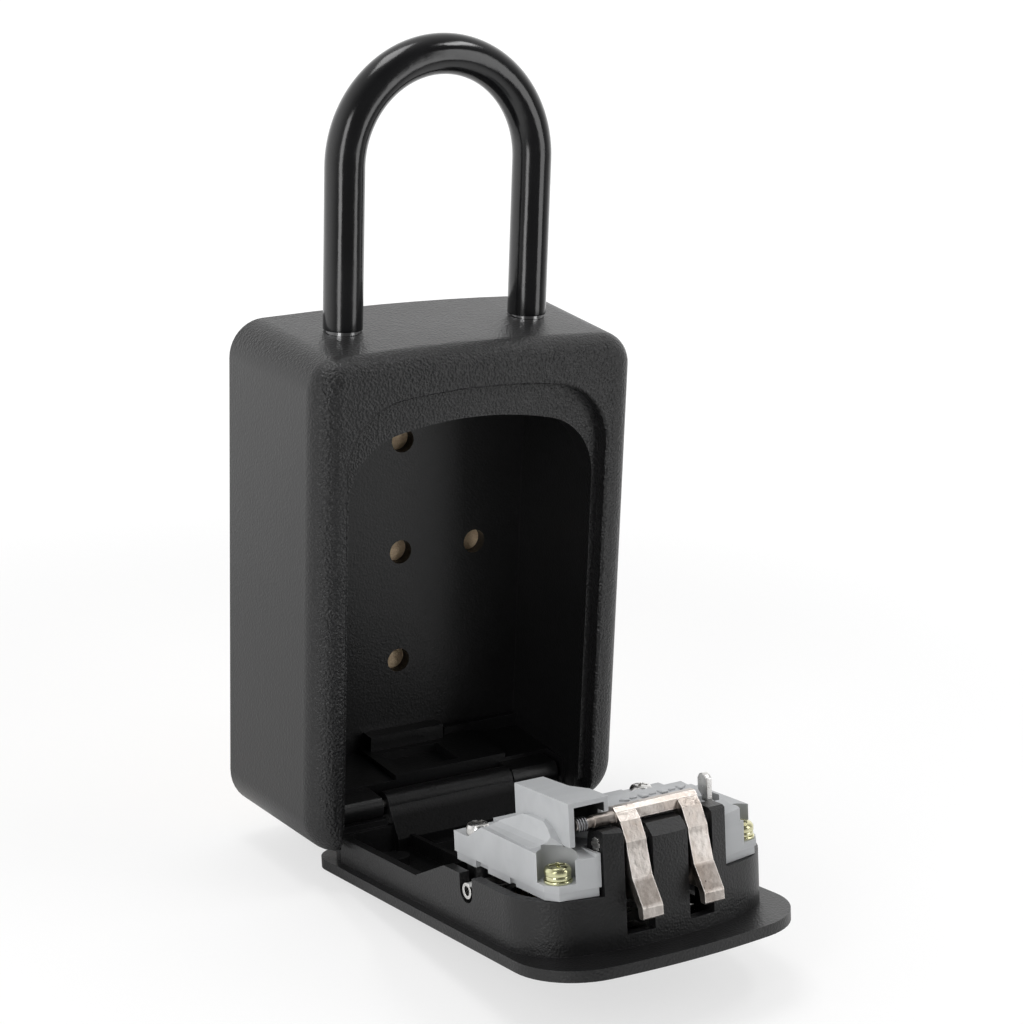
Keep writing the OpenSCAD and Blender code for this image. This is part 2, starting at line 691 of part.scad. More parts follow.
module latch_claw() color("#b3a99f") on_door() union() {
  for (s = [-1, 1]) translate([s * finger_x, 0, 0]) finger();
  // bar that joins the fingers
  xslab(-10.4, 10.4) polygon([[25.7, 93.1], [28.1, 93.1], [28.7, 93.7], [28.7, 95.1],
    [27.9, 96], [25.8, 96.2], [25.5, 95.9], [25.5, 93.3]]);
  // web under each finger and the strip across their ends
  for (s = [-1, 1]) xslab(s * finger_x - 1.2, s * finger_x + 1.2) polygon([[9.4, 94.9],
    [10.9, 94.9], [11.6, 96], [20.4, 96], [20.4, 98], [15, 99.8], [9.4, 102.6]]);
  xslab(-9, 9) polygon([[9.4, 94.9], [10.9, 94.9], [10.9, 96], [9.4, 96]]);
  xcyl(-19.7, -10.2, shaft_y, shaft_z, 1.2);
  xcyl(-15.4, -8.5, shaft_y, shaft_z, 1.42);
}

// Wire swept along a path whose tangent stays square to X
function unit(v) = v / norm(v);
function tangent(path, i) = unit(path[min(i + 1, len(path) - 1)] - path[max(i - 1, 0)]);
module wire(path, r, sides = 8) {
  points = [for (i = [0:len(path) - 1])
    let (along = tangent(path, i), side = unit(cross([1, 0, 0], along)),
      up = cross(along, side))
    for (k = [0:sides - 1])
      path[i] + r * cos(k * 360 / sides) * side + r * sin(k * 360 / sides) * up];
  polyhedron(points = points, faces = skin_faces(sides, len(path)));
}

// Three and a half turns round the claw shaft, with a straight leg at each end
coil_r = 1.45;
coil_len = 2.1;
spring_path = concat([[0, coil_r, -5.2], [0, coil_r, -2.5]],
  [for (a = [90:20:1350]) [coil_len * (a - 90) / 1260, coil_r * sin(a), -coil_r * cos(a)]],
  [[2.12, -coil_r, -2.5], [2.12, -coil_r, -4.8]]);
module latch_spring() color("#d6d8da") on_door()
  translate([-19.4, shaft_y, shaft_z]) wire(spring_path, 0.2);

// ---------- release and reset ----------
// Grooved button on the outer face, with a stem through the plate
module release_slide() color("#2c2d30") on_door() union() {
  difference() {
    block(-12, 12, -2.45, -1.3, 87.4, 95.8);
    for (z = [88.6, 90.2, 91.8, 93.4]) block(-9, 9, -3, -2.1, z, z + 0.7);
  }
  block(-3.9, 3.9, -1.4, 0.8, 87.6, 91.8);
}

// Flat bar with two windows and an upright tongue
module release_bar() color("#c4c6c8") on_door() difference() {
  union() {
    block(-12.8, 12.8, 0.85, 2.3, 81.5, 92);
    block(-4, 4, 0.85, 2.3, 91.9, 97.7);
    block(-4, 4, 0.85, 12.6, 96.3, 97.7);
  }
  for (x = [-9, 9]) block(x - 1.2, x + 1.2, 0, 3, 83.5, 90);
}

module reset_lever() color("#c9ccce") on_door() union() {
  xslab(15.6, 17.1) polygon([[21.4, 89], [29.1, 89], [30, 89.6], [30.4, 90.6],
    [30.1, 91.6], [29.4, 92.3], [21.4, 92.3]]);
  block(15.6, 17.1, 20.2, 21.6, 80.4, 92.3);
}

housing();
back_pad();
hinge_pin();
lock_case_cover();
lock_case_screws();
shackle();
shackle_sleeve();
lock_slide();
door();
mechanism_cover();
mechanism_base();
cover_screws_front();
cover_screw_washers();
cover_screws_rear();
latch_pin();
dial_spindle();
detent_spring();
dial_1();
dial_2();
dial_3();
dial_4();
cam_1();
cam_2();
cam_3();
cam_4();
release_slide();
release_bar();
latch_claw();
latch_spring();
reset_lever();
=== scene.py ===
"""Combination lock box with a shackle, its front door swung open about a hinge low down.

Metres, +Z up; the front faces -Y and the door opens forwards. Two sets of coordinates in mm:
case: y runs back from the front plane, z runs up.
door (x, v, z): v is the height above the plate's inner face, z the height when closed.
"""
import bpy, bmesh, math, json
from mathutils import Vector, Matrix


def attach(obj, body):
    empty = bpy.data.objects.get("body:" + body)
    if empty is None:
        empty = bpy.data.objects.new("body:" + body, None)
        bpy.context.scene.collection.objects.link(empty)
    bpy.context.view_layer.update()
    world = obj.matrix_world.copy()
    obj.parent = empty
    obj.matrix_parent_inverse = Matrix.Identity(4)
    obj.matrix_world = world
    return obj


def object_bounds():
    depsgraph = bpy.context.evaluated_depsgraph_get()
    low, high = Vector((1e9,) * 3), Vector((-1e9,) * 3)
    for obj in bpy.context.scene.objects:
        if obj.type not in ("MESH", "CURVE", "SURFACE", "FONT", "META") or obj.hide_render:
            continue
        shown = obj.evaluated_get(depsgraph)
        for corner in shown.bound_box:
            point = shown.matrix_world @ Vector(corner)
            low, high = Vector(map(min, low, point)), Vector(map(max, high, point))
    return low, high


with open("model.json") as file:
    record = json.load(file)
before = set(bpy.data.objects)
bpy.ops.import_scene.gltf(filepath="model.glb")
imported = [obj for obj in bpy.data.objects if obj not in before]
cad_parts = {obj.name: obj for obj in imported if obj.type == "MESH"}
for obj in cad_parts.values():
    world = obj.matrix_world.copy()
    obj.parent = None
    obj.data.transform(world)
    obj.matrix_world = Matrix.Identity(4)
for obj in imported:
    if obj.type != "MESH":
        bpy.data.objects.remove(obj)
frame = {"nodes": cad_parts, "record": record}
cad_lo, cad_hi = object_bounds()
PARTS = frame["nodes"]
SLOT_OF = {s["node"]: s.get("material_slot")
           for s in frame["record"].get("subparts", []) if "node" in s}
scene = bpy.context.scene


# ---------------------------------------------------------------- door frame
ORIGIN_Y, ORIGIN_Z = 0.0403, 0.0594  # scene origin in case coordinates, metres
HINGE_Y, HINGE_Z = 0.0132, 0.005     # hinge axis in case coordinates, metres
PLATE_INNER = 3                      # case y of the plate's inner face, closed, mm
OPEN = math.radians(81.4)
TURN_OPEN = Matrix.Rotation(OPEN, 4, "X")


def door_point(x, v, z):
    """Door coordinates in mm to the scene, with the door open."""
    y = (PLATE_INNER + v) / 1000 - HINGE_Y
    rise = z / 1000 - HINGE_Z
    return Vector((
        x / 1000,
        HINGE_Y + y * math.cos(OPEN) - rise * math.sin(OPEN) - ORIGIN_Y,
        HINGE_Z + y * math.sin(OPEN) + rise * math.cos(OPEN) - ORIGIN_Z))


DOOR_MATRIX = Matrix.Translation(door_point(0, 0, 0)) @ TURN_OPEN


# ---------------------------------------------------------------- node helpers
class Nodes:
    """Adds nodes to one node tree; most methods return an output socket."""

    def __init__(self, tree):
        self.tree = tree

    def new(self, kind, **props):
        node = self.tree.nodes.new(kind)
        for key, value in props.items():
            setattr(node, key, value)
        return node

    def link(self, source, target):
        self.tree.links.new(source, target)

    def put(self, socket, value):
        """Link a socket, or set a number or an RGB colour."""
        if isinstance(value, bpy.types.NodeSocket):
            self.link(value, socket)
        elif isinstance(value, tuple):
            socket.default_value = (*value, 1.0)
        else:
            socket.default_value = value

    def ramp(self, value, over, to=(0.0, 1.0), smooth=False):
        """Map the range over onto the range to, clamped."""
        node = self.new("ShaderNodeMapRange")
        if smooth:
            node.interpolation_type = "SMOOTHSTEP"
        self.link(value, node.inputs["Value"])
        for side, limits in (("From", over), ("To", to)):
            for end, limit in zip(("Min", "Max"), limits):
                node.inputs[f"{side} {end}"].default_value = limit
        return node.outputs["Result"]

    def math(self, operation, a, b=0.0):
        node = self.new("ShaderNodeMath", operation=operation)
        self.put(node.inputs[0], a)
        self.put(node.inputs[1], b)
        return node.outputs[0]

    def times(self, a, b):
        return self.math("MULTIPLY", a, b)

    def weighted(self, first, second):
        """Sum of two (socket, weight) pairs."""
        return self.math("ADD", self.times(*first), self.times(*second))

    def nudge(self, operation, value, mask, amount):
        """ADD or SUBTRACT an amount where the mask is 1."""
        return self.math(operation, value, self.times(mask, amount))

    def mix_shaders(self, factor, a, b):
        node = self.new("ShaderNodeMixShader")
        for socket, source in zip(node.inputs, (factor, a, b)):
            self.link(source, socket)
        return node.outputs[0]


class Shader(Nodes):
    """A new material with object-space pattern helpers."""

    def __init__(self, name):
        self.material = bpy.data.materials.new(name)
        self.material.use_nodes = True
        super().__init__(self.material.node_tree)
        self.bsdf = next(n for n in self.tree.nodes if n.type == "BSDF_PRINCIPLED")
        self.coord = self.new("ShaderNodeTexCoord").outputs["Object"]

    def mapped(self, **settings):
        """Object coordinates with a location, rotation or scale applied."""
        node = self.new("ShaderNodeMapping")
        self.link(self.coord, node.inputs["Vector"])
        for key, value in settings.items():
            node.inputs[key.capitalize()].default_value = value
        return node.outputs["Vector"]

    def axes(self, vector):
        node = self.new("ShaderNodeSeparateXYZ")
        self.link(vector, node.inputs[0])
        return node.outputs

    def inside(self, soft, **spans):
        """1 inside a box of x, v and z spans in door mm, with edges soft to +-soft mm."""
        inverse = DOOR_MATRIX.inverted()
        xvz = self.axes(self.mapped(location=inverse.translation, rotation=inverse.to_euler()))
        soft = soft / 1000
        mask = None
        for axis, (low, high) in spans.items():
            for limit, to in ((low, (0.0, 1.0)), (high, (1.0, 0.0))):
                if limit is None:
                    continue
                limit = limit / 1000
                side = self.ramp(xvz["xvz".index(axis)], (limit - soft, limit + soft), to)
                mask = side if mask is None else self.times(mask, side)
        return mask

    def noise(self, scale, detail=2.0, rough=0.5, vector=None, distortion=0.0):
        node = self.new("ShaderNodeTexNoise")
        self.link(vector or self.coord, node.inputs["Vector"])
        node.inputs["Scale"].default_value = scale
        node.inputs["Detail"].default_value = detail
        node.inputs["Roughness"].default_value = rough
        node.inputs["Distortion"].default_value = distortion
        return node.outputs["Fac"]

    def cells(self, scale):
        node = self.new("ShaderNodeTexVoronoi")
        self.link(self.coord, node.inputs["Vector"])
        node.inputs["Scale"].default_value = scale
        return node.outputs["Distance"]

    def mix(self, factor, a, b):
        node = self.new("ShaderNodeMix", data_type="RGBA")
        self.put(node.inputs["Factor"], factor)
        self.put(node.inputs[6], a)
        self.put(node.inputs[7], b)
        return node.outputs[2]

    def shade(self, tone, over, dark, light):
        return self.mix(self.ramp(tone, over), dark, light)

    def overlay(self, base, mask, amount, colour):
        return self.mix(self.times(mask, amount), base, colour)

    def bump(self, height, strength, distance, under=None):
        """Bump in metres, laid over the normal given as under."""
        node = self.new("ShaderNodeBump")
        self.link(height, node.inputs["Height"])
        node.inputs["Strength"].default_value = strength
        node.inputs["Distance"].default_value = distance
        if under is not None:
            self.link(under, node.inputs["Normal"])
        return node.outputs["Normal"]

    def edge(self, radius):
        """1 near a sharp edge, 0 on flat faces."""
        geometry = self.new("ShaderNodeNewGeometry")
        bevel = self.new("ShaderNodeBevel", samples=4)
        bevel.inputs["Radius"].default_value = radius
        dot = self.new("ShaderNodeVectorMath", operation="DOT_PRODUCT")
        self.link(geometry.outputs["Normal"], dot.inputs[0])
        self.link(bevel.outputs["Normal"], dot.inputs[1])
        return self.ramp(dot.outputs["Value"], over=(0.997, 0.9))

    def done(self, colour, rough, normal, metallic=0.0, specular=0.5):
        for key, value in (("Base Color", colour), ("Roughness", rough),
                           ("Metallic", metallic), ("Specular IOR Level", specular),
                           ("Normal", normal)):
            self.put(self.bsdf.inputs[key], value)
        return self.material


# ---------------------------------------------------------------- materials
def housing_coat(t, relief, specular):
    """Coarser round the front rim and on the crown than on the sides; duller by the hinge."""
    xyz = t.axes(t.coord)
    front = t.ramp(xyz["Y"], over=(-0.0385, -0.034), to=(1.15, 0.2), smooth=True)
    crown = t.ramp(xyz["Z"], over=(0.052, 0.057), to=(0.0, 0.65), smooth=True)
    relief = t.times(relief, t.math("MAXIMUM", front, crown))
    # the well round the hinge is duller than the outside
    behind_rim = t.ramp(xyz["Y"], over=(-0.0335, -0.0315), smooth=True)
    low = t.ramp(xyz["Z"], over=(-0.048, -0.0465), to=(1.0, 0.0), smooth=True)
    across = t.ramp(t.math("ABSOLUTE", xyz["X"]), over=(0.0345, 0.0355), to=(1.0, 0.0),
                    smooth=True)
    well = t.times(t.times(behind_rim, low), across)
    return relief, t.nudge("SUBTRACT", specular, well, amount=specular * 0.42)


def door_coat(t, colour, specular):
    """Duller inside the door near the hinge, and painted shade, darker and duller, in a low
    central box on the hinge arm under the barrel.
    """
    well = t.inside(soft=1, x=(-30.2, 30.2), v=(0.3, None), z=(None, 27))
    # painted shade on the hinge arm under the barrel
    painted_arm_shade = t.inside(soft=0.9, x=(-17.3, 18.3), v=(0.3, 8.6), z=(None, 13))
    dulled = t.nudge("SUBTRACT", specular, well, amount=specular * 0.5)
    dulled = t.nudge("SUBTRACT", dulled, painted_arm_shade, amount=specular * 0.3)
    return t.overlay(colour, painted_arm_shade, amount=0.45, colour=(0.002, 0.002, 0.0022)), dulled


def powder_coat(name, dark, light, rough, grain, depth, specular, housing=False):
    """Grainy black coat; grain is the noise scale and depth the bump in metres."""
    t = Shader(name)
    big = t.noise(scale=38, detail=3, rough=0.55)
    fine = t.noise(scale=grain, detail=1, rough=0.45)
    pits = t.cells(scale=grain * 0.7)
    tone = t.weighted((big, 0.55), (fine, 0.45))
    colour = t.shade(tone, over=(0.3, 0.7), dark=dark, light=light)
    worn = t.times(t.edge(radius=0.0005), t.ramp(big, over=(0.35, 0.65), to=(0.1, 0.6)))
    colour = t.overlay(colour, worn, amount=0.35, colour=(0.055, 0.055, 0.058))
    relief = t.weighted((fine, 0.6), (pits, 0.5))
    if housing:
        relief, specular = housing_coat(t, relief, specular)
    else:
        colour, specular = door_coat(t, colour, specular)
    normal = t.bump(relief, strength=1.0, distance=depth)
    normal = t.bump(t.noise(scale=grain * 0.16), strength=0.3, distance=0.00004, under=normal)
    return t.done(colour, t.ramp(tone, over=(0.25, 0.75), to=rough), normal, specular=specular)


def vinyl(name):
    """Glossy and softly wavy, with dull specks."""
    t = Shader(name)
    big = t.noise(scale=55)
    wave = t.noise(scale=160, rough=0.45)
    specks = t.ramp(t.cells(scale=420), over=(0.0, 0.09), to=(1.0, 0.0))
    colour = t.shade(big, over=(0.3, 0.7), dark=(0.0035, 0.0035, 0.004),
                     light=(0.007, 0.007, 0.0078))
    normal = t.bump(wave, strength=0.5, distance=0.00022)
    normal = t.bump(t.noise(scale=1300), strength=0.25, distance=0.00002, under=normal)
    gloss = t.ramp(big, over=(0.3, 0.7), to=(0.13, 0.2))
    rough = t.nudge("ADD", gloss, specks, amount=0.25)
    return t.done(colour, rough, normal, specular=0.55)


def grey_plastic(name):
    """Moulded plastic with faint flow marks and pale edges."""
    t = Shader(name)
    big = t.noise(scale=45, detail=3, rough=0.55)
    grain = t.noise(scale=2600, rough=0.6)
    flow = t.noise(scale=30, vector=t.mapped(scale=(1, 5, 5)), distortion=1.2)
    tone = t.weighted((big, 0.5), (flow, 0.5))
    colour = t.shade(tone, over=(0.35, 0.65), dark=(0.42, 0.43, 0.44),
                     light=(0.475, 0.485, 0.495))
    colour = t.overlay(colour, t.edge(radius=0.0005), amount=0.35, colour=(0.56, 0.57, 0.58))
    # painted shade in the mouth of the hood
    painted_hood_shade = t.inside(soft=0.08, x=(-20.2, -12.5), v=(22.6, 30.58), z=(80, 95.1))
    colour = t.overlay(colour, painted_hood_shade, amount=0.97, colour=(0.012, 0.012, 0.012))
    normal = t.bump(grain, strength=0.6, distance=0.000025)
    normal = t.bump(t.noise(scale=320), strength=0.3, distance=0.00006, under=normal)
    return t.done(colour, t.ramp(grain, over=(0.3, 0.7), to=(0.36, 0.5)), normal)


def black_plastic(name):
    """Fine-grained, nearly black plastic."""
    t = Shader(name)
    big = t.noise(scale=60, detail=3, rough=0.55)
    grain = t.noise(scale=1900, detail=3, rough=0.6)
    colour = t.shade(big, over=(0.3, 0.7), dark=(0.013, 0.013, 0.0135),
                     light=(0.024, 0.024, 0.025))
    normal = t.bump(grain, strength=0.8, distance=0.00004)
    return t.done(colour, t.ramp(grain, over=(0.3, 0.7), to=(0.38, 0.55)), normal)


def metal(name, dark, light, rough, brush, pits=0.0, cast=0.0, wear=0.3, tint=None, painted_shade=()):
    """Plated or bare metal.

    brush scales the streak noise by axis, pits and wear are the strengths of pits and bright
    edges, cast is a bump depth in metres, and the last argument lists (box, amount) of painted
    shade.
    """
    t = Shader(name)
    big = t.noise(scale=120, detail=4, rough=0.6)
    streak = t.noise(scale=900, detail=3, rough=0.65, vector=t.mapped(scale=brush))
    tone = t.weighted((big, 0.55), (streak, 0.45))
    colour = t.shade(tone, over=(0.33, 0.67), dark=dark, light=light)
    if tint:
        patches = t.noise(scale=75, detail=3, rough=0.6)
        colour = t.mix(t.ramp(patches, over=(0.45, 0.68), to=(0, 0.75)), colour, tint)
    # painted shade: each listed box is darkened by its amount
    for box, amount in painted_shade:
        uneven = t.ramp(tone, over=(0.35, 0.65), to=(amount, amount * 0.7))
        colour = t.overlay(colour, t.inside(soft=0.4, **box), amount=uneven,
                           colour=(0.13, 0.108, 0.092))
    bright = tuple(min(1.0, c * 1.15 + 0.04) for c in light)
    colour = t.overlay(colour, t.edge(radius=0.0004), amount=wear, colour=bright)
    rough = t.ramp(tone, over=(0.3, 0.7), to=rough)
    normal = t.bump(streak, strength=0.5, distance=0.000018)
    if cast:
        lumps = t.noise(scale=700, detail=4, rough=0.6)
        normal = t.bump(lumps, strength=0.8, distance=cast, under=normal)
    if pits:
        spots = t.ramp(t.cells(scale=520), over=(0.05, 0.16), to=(1.0, 0.0))
        spots = t.times(spots, t.ramp(t.noise(scale=260), over=(0.5, 0.62)))
        colour = t.overlay(colour, spots, amount=pits, colour=(0.11, 0.085, 0.07))
        normal = t.bump(spots, strength=0.5, distance=-0.00008, under=normal)
        rough = t.nudge("ADD", rough, spots, amount=0.25)
    return t.done(colour, rough, normal, metallic=1.0)


def tan_pad(name):
    """Fibrous pad with darker chips."""
    t = Shader(name)
    stretched = t.mapped(scale=(1, 1, 2.6), rotation=(0, 0.5, 0))
    fibre = t.noise(scale=900, detail=4, rough=0.7, vector=stretched, distortion=1.5)
    big = t.noise(scale=420, detail=3, rough=0.6)
    tone = t.weighted((fibre, 0.5), (big, 0.5))
    colour = t.shade(tone, over=(0.35, 0.65), dark=(0.62, 0.44, 0.27), light=(0.9, 0.71, 0.48))
    chips = t.ramp(t.cells(scale=650), over=(0.0, 0.25), to=(0.35, 0.0))
    colour = t.mix(chips, colour, (0.4, 0.26, 0.15))
    # the face that shows inside through the holes is lighter than the outer, rear one
    worn = t.mix(0.72, colour, (0.26, 0.16, 0.085))
    rear = t.ramp(t.axes(t.coord)["Y"], over=(0.0004, 0.0008))
    colour = t.mix(rear, colour, worn)
    normal = t.bump(fibre, strength=0.9, distance=0.00012)
    return t.done(colour, t.ramp(fibre, over=(0.3, 0.7), to=(0.75, 0.95)), normal)


def white_paint(name):
    """Paint of the numerals."""
    t = Shader(name)
    big = t.noise(scale=500, detail=3, rough=0.6)
    colour = t.shade(big, over=(0.3, 0.7), dark=(0.72, 0.72, 0.7), light=(0.85, 0.85, 0.83))
    normal = t.bump(t.noise(scale=2400), strength=0.5, distance=0.00002)
    return t.done(colour, t.ramp(big, over=(0.3, 0.7), to=(0.4, 0.55)), normal)


# slot name: (function, its settings)
RECIPES = {
    "black_powder_coat": (powder_coat, dict(
        dark=(0.0055, 0.0055, 0.0058), light=(0.0105, 0.0105, 0.011), rough=(0.34, 0.44),
        grain=2100, depth=0.0003, specular=0.5, housing=True)),
    "black_casting": (powder_coat, dict(
        dark=(0.0045, 0.0045, 0.0048), light=(0.0085, 0.0085, 0.009), rough=(0.36, 0.46),
        grain=2300, depth=0.0001, specular=0.44)),
    "black_vinyl": (vinyl, {}),
    "black_plastic": (black_plastic, {}),
    "grey_plastic": (grey_plastic, {}),
    "polished_steel": (metal, dict(
        dark=(0.68, 0.68, 0.69), light=(0.82, 0.82, 0.82), rough=(0.08, 0.16),
        brush=(1, 1, 0.2), wear=0.2)),
    "nickel_steel": (metal, dict(
        dark=(0.55, 0.54, 0.525), light=(0.78, 0.77, 0.75), rough=(0.2, 0.38),
        brush=(0.3, 1, 1), wear=0.35)),
    "yellow_zinc": (metal, dict(
        dark=(0.52, 0.49, 0.27), light=(0.78, 0.76, 0.52), rough=(0.16, 0.32),
        brush=(1, 1, 1), wear=0.45, tint=(0.55, 0.62, 0.36))),
    "raw_zinc": (metal, dict(
        dark=(0.3, 0.265, 0.24), light=(0.64, 0.6, 0.565), rough=(0.24, 0.42),
        brush=(1, 1, 0.35), pits=0.85, cast=0.00012, wear=0.9, tint=(0.4, 0.32, 0.265),
        # painted shade on two bands of the latch claw's fingers
        painted_shade=[(dict(v=(9.7, 14.6), z=(98.5, None)), 0.85),
              (dict(v=(20.9, 26.3), z=(96, None)), 0.3)])),
    "brass": (metal, dict(
        dark=(0.6, 0.44, 0.19), light=(0.78, 0.6, 0.3), rough=(0.2, 0.34),
        brush=(0.3, 1, 1))),
    "spring_steel": (metal, dict(
        dark=(0.16, 0.16, 0.165), light=(0.3, 0.3, 0.31), rough=(0.24, 0.4),
        brush=(0.25, 1, 1))),
    "tan_pad": (tan_pad, {}),
}
MATERIALS = {name: make(name, **settings) for name, (make, settings) in RECIPES.items()}
PAINT = white_paint("numeral_paint")


# ---------------------------------------------------------------- CAD parts
# part: (bevel width in metres, segments)
BEVELS = {
    "housing": (0.00035, 3), "door": (0.0003, 3), "mechanism_cover": (0.00035, 3),
    "mechanism_base": (0.0002, 2), "back_pad": (0.0003, 2), "shackle_sleeve": (0.0004, 3),
    "latch_claw": (0.00028, 3), "shackle": (0.0003, 2), "lock_case_cover": (0.00025, 2),
    "release_slide": (0.0002, 2), "release_bar": (0.00015, 2), "reset_lever": (0.00022, 3),
    "dial_1": (0.0002, 2), "dial_2": (0.0002, 2), "dial_3": (0.0002, 2), "dial_4": (0.0002, 2),
    "cover_screws_front": (0.00012, 2), "cover_screws_rear": (0.00012, 2),
    "cover_screw_washers": (0.0001, 2), "lock_case_screws": (0.00012, 2),
    "latch_pin": (0.00012, 2), "dial_spindle": (0.0001, 2), "hinge_pin": (0.0002, 2),
    "lock_slide": (0.00015, 2), "detent_spring": (0.00005, 1), "latch_spring": (0, 0),
}
OTHER_BEVEL = (0.0001, 1)
# smallest edge angle that gets a bevel, degrees
BEVEL_ANGLES = {"latch_claw": 8, "mechanism_cover": 14, "door": 24, "reset_lever": 14}
OTHER_ANGLE = 30


def modifier(part, name, kind, **settings):
    added = part.modifiers.new(name, kind)
    for key, value in settings.items():
        setattr(added, key, value)


def finish_part(part, width, segments, angle):
    """Weld and simplify the CAD mesh, soften its edges and smooth its shading."""
    if part.data.has_custom_normals:
        with bpy.context.temp_override(object=part, active_object=part, selected_objects=[part],
                                       selected_editable_objects=[part]):
            bpy.ops.mesh.customdata_custom_splitnormals_clear()
    part.data.polygons.foreach_set("use_smooth", [True] * len(part.data.polygons))
    modifier(part, "weld", "WELD", merge_threshold=2e-6)
    modifier(part, "planar", "DECIMATE", decimate_type="DISSOLVE",
             angle_limit=math.radians(0.6))
    if width:
        modifier(part, "bevel", "BEVEL", width=width, segments=segments, limit_method="ANGLE",
                 angle_limit=math.radians(angle), use_clamp_overlap=True,
                 miter_outer="MITER_SHARP", harden_normals=False)
    modifier(part, "normals", "WEIGHTED_NORMAL", keep_sharp=True, weight=60)


for name, part in PARTS.items():
    finish_part(part, *BEVELS.get(name, OTHER_BEVEL), BEVEL_ANGLES.get(name, OTHER_ANGLE))
    part.data.materials.clear()
    part.data.materials.append(MATERIALS[SLOT_OF.get(name) or "black_plastic"])


# ---------------------------------------------------------------- numerals on the wheels
WHEELS, WHEEL_PITCH, WHEEL_RADIUS = 4, 8.6, 10.0  # mm
WHEEL_V, WHEEL_Z = 8.4, 69.0                      # wheel axis in door mm
DIGITS = 10
DIGIT_SIZE, DIGIT_EXTRUDE = 0.0052, 0.00005       # metres
DIGIT_LIFT = 0.03                                 # clearance over the wheel, mm


def add_numeral(wheel, digit):
    name = "numeral_%d_%d" % (wheel + 1, digit)
    text = bpy.data.curves.new(name, "FONT")
    text.body = str(digit)
    text.size = DIGIT_SIZE
    text.extrude = DIGIT_EXTRUDE
    text.align_x = "CENTER"
    text.align_y = "CENTER"
    text.resolution_u = 6
    numeral = bpy.data.objects.new(name, text)
    scene.collection.objects.link(numeral)
    # 0 shows through the window of the outer face; the tops of the digits point to the hinge
    centre = door_point((wheel - (WHEELS - 1) / 2) * WHEEL_PITCH, WHEEL_V, WHEEL_Z)
    on_wheel = (Matrix.Rotation(math.radians(digit * 360 / DIGITS), 4, "X")
                @ Matrix.Translation((0, -(WHEEL_RADIUS + DIGIT_LIFT) / 1000, 0))
                @ Matrix.Rotation(math.radians(90), 4, "X"))
    numeral.matrix_world = Matrix.Translation(centre) @ TURN_OPEN @ on_wheel
    text.materials.append(PAINT)
    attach(numeral, "wheel_%d" % (wheel + 1))


for wheel in range(WHEELS):
    for digit in range(DIGITS):
        add_numeral(wheel, digit)


# ---------------------------------------------------------------- raised marks on the door
MARK_ROOT = 0.00012     # depth sunk into the surface, metres
MARK_CHAMFER = 0.00008  # metres


def rectangle(half_x, half_y):
    return [(-half_x, -half_y), (half_x, -half_y), (half_x, half_y), (-half_x, half_y)]


def arrow(tail, tip, half_width, side):
    """Triangle pointing along +x for side 1 and -x for side -1."""
    points = [(-tail, -half_width), (tip, 0), (-tail, half_width)]
    return [(side * x, side * y) for x, y in points]


def left_normal(start, end):
    along = (end - start).normalized()
    return Vector((-along.y, along.x))


def chamfered_prism(bm, outline, height):
    """Extrude a counter-clockwise outline in metres, with a chamfered top."""
    points = [Vector(p) for p in outline]
    count = len(points)
    low = [bm.verts.new((p.x, p.y, -MARK_ROOT)) for p in points]
    middle = [bm.verts.new((p.x, p.y, height - MARK_CHAMFER)) for p in points]
    top = []
    for i, point in enumerate(points):
        before = left_normal(points[i - 1], point)
        after = left_normal(point, points[(i + 1) % count])
        inward = (before + after) * (MARK_CHAMFER / (1 + before.dot(after)))
        top.append(bm.verts.new((point.x + inward.x, point.y + inward.y, height)))
    bm.faces.new(list(reversed(low)))
    bm.faces.new(top)
    for i in range(count):
        j = (i + 1) % count
        bm.faces.new((low[i], low[j], middle[j], middle[i]))
        bm.faces.new((middle[i], middle[j], top[j], top[i]))


def add_mark(name, outline, place, out, height, slot, tilt=0.0):
    """Raised outline (mm) at a place in door mm, facing along v times out."""
    bm = bmesh.new()
    chamfered_prism(bm, [(x / 1000, y / 1000) for x, y in outline], height / 1000)
    bmesh.ops.recalc_face_normals(bm, faces=bm.faces)
    mesh = bpy.data.meshes.new(name)
    bm.to_mesh(mesh)
    bm.free()
    facing = Matrix(((1, 0, 0, 0), (0, 0, out, 0), (0, -out, 0, 0), (0, 0, 0, 1)))
    mesh.transform(DOOR_MATRIX @ Matrix.Translation([c / 1000 for c in place])
                   @ Matrix.Rotation(tilt, 4, "X") @ facing)
    mesh.polygons.foreach_set("use_smooth", [True] * len(mesh.polygons))
    mark = bpy.data.objects.new(name, mesh)
    scene.collection.objects.link(mark)
    mesh.materials.append(MATERIALS[slot])
    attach(mark, "door")


# arrows and bars on the cover behind the latch, showing which way the reset tab moves
SLOPE_Z, SLOPE_V = 84.9, 27.6   # start of the cover's slope
SLOPE_RUN, SLOPE_DROP = 6.5, 0.6
MARK_Z = 88.2
BAR, SLIM = rectangle(0.75, 1.15), rectangle(0.75, 0.32)
LEFT, RIGHT = [arrow(tail=0.9, tip=1.0, half_width=1.2, side=side) for side in (-1, 1)]
# (x, outline)
COVER_MARKS = ((-3.2, LEFT), (-0.6, SLIM), (1.9, BAR), (4.4, SLIM), (6.9, BAR), (9.4, SLIM),
               (12.0, RIGHT))
mark_v = SLOPE_V - (MARK_Z - SLOPE_Z) * SLOPE_DROP / SLOPE_RUN
for i, (x, outline) in enumerate(COVER_MARKS):
    add_mark("cover_mark_%d" % (i + 1), outline, (x, mark_v, MARK_Z), out=1, height=0.3,
             slot="grey_plastic", tilt=-math.atan2(SLOPE_DROP, SLOPE_RUN))

